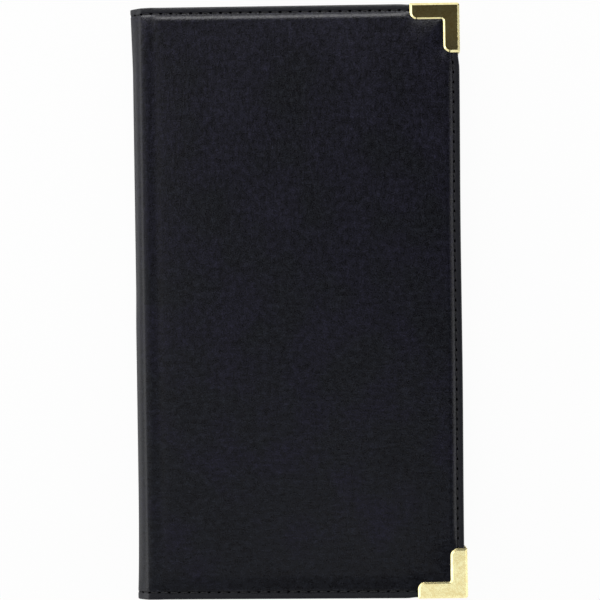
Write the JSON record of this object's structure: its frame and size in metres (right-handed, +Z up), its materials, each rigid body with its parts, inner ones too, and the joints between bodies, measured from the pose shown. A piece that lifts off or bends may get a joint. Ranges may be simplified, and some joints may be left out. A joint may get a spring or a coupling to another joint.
{
  "type": "guest check presenter",
  "caption": "Padded folding presenter for a guest check: two stiff covers in black imitation leather, brass corner guards and sewn inner pockets.",
  "frame": {"origin": "centre of the closed presenter's bottom face, on the surface that it lies on", "axes": "+X from the spine to the free edge, +Y along the spine to the top edge, +Z up through the front cover"},
  "size_m": [0.1406, 0.2538, 0.0134],
  "materials": {
    "leatherette": "fine-grained matte-satin imitation leather, padded",
    "lining": "thin smooth imitation leather lining",
    "pocket": "thin smooth imitation leather pocket sheet",
    "board": "grey bookbinding board",
    "foam": "soft polyether foam sheet",
    "thread": "black bonded thread",
    "brass": "polished, brass-plated pressed steel"
  },
  "bodies": {
    "back_cover": {"back_skin": "leatherette", "back_foam_pad": "foam", "back_board": "board", "back_lining": "lining", "back_corner_top": "brass", "back_corner_bottom": "brass", "back_edge_stitching": "thread", "check_pocket": "pocket", "check_pocket_hem": "pocket", "check_pocket_stitching": "thread"},
    "spine": {"spine_skin": "leatherette", "spine_lining": "lining", "spine_stitching": "thread"},
    "front_cover": {"front_skin": "leatherette", "front_foam_pad": "foam", "front_board": "board", "front_lining": "lining", "front_corner_top": "brass", "front_corner_bottom": "brass", "front_edge_stitching": "thread", "receipt_pocket": "pocket", "receipt_pocket_hem": "pocket", "receipt_pocket_stitching": "thread", "card_pocket": "pocket", "card_pocket_hem": "pocket", "card_pocket_stitching": "thread"}
  },
  "joints": [
    {"name": "spine_fold", "type": "hinge", "parent": "back_cover", "child": "spine", "pos_m": [-0.0687, 0, 0.00338], "axis": [0, -1, 0], "range_deg": [0, 90]},
    {"name": "cover_fold", "type": "hinge", "parent": "spine", "child": "front_cover", "pos_m": [-0.0687, 0, 0.01002], "axis": [0, -1, 0], "range_deg": [0, 90]}
  ],
  "couplings": [
    {"joint": "spine_fold", "follows": "cover_fold", "ratio": 1}
  ]
}
